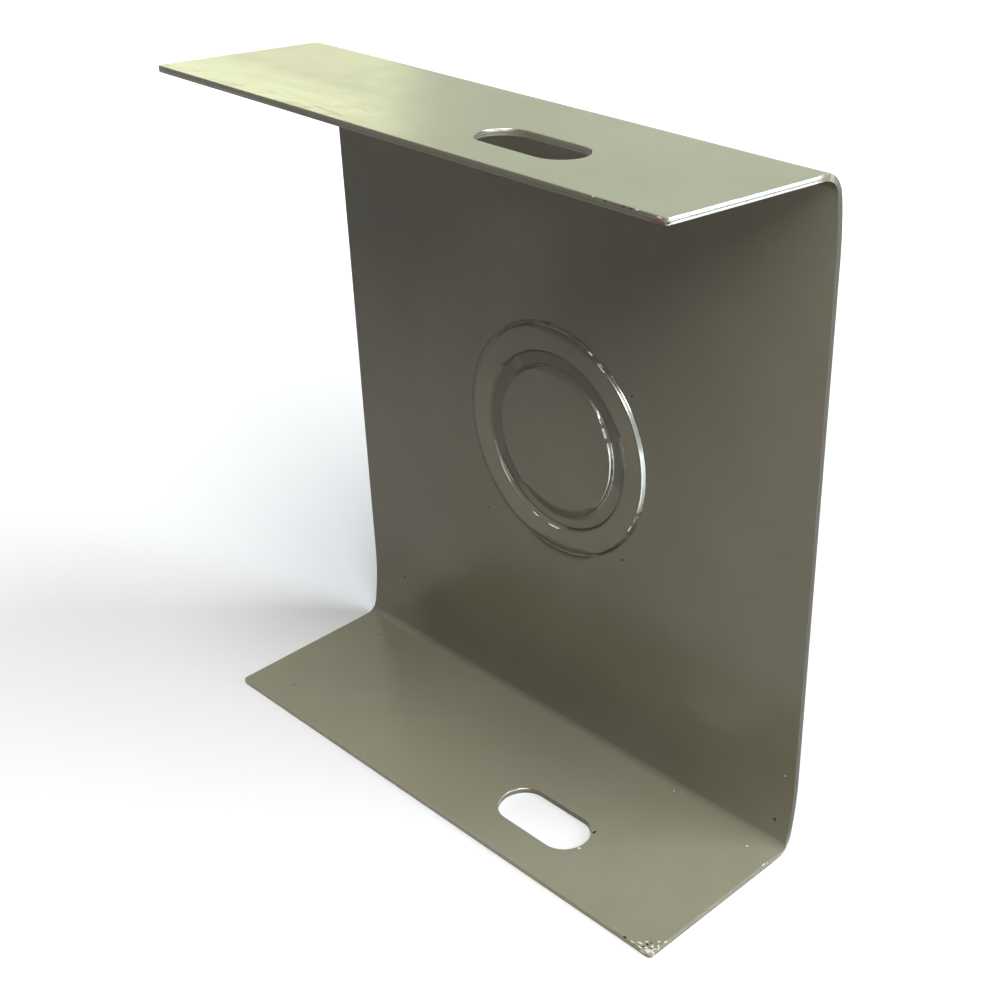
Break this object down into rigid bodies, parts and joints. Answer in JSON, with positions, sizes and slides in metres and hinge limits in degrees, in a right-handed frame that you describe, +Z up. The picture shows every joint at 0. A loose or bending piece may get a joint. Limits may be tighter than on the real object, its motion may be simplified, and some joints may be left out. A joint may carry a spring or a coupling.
{
  "type": "cover plate",
  "caption": "C-shaped folded sheet-metal cover plate with a slot in each flange and a concentric knockout in its web.",
  "frame": {"origin": "middle of the bottom flange's flat outer face", "axes": "+Z up, away from the bottom flange's outer face; +X out of the open side of the C; +Y along the folds, towards the end that the slots are nearer to"},
  "size_m": [0.0417, 0.116, 0.1263],
  "materials": {
    "paint": "semi-gloss baked enamel, warm grey"
  },
  "bodies": {
    "root": {"cover_plate": "paint"}
  },
  "joints": []
}
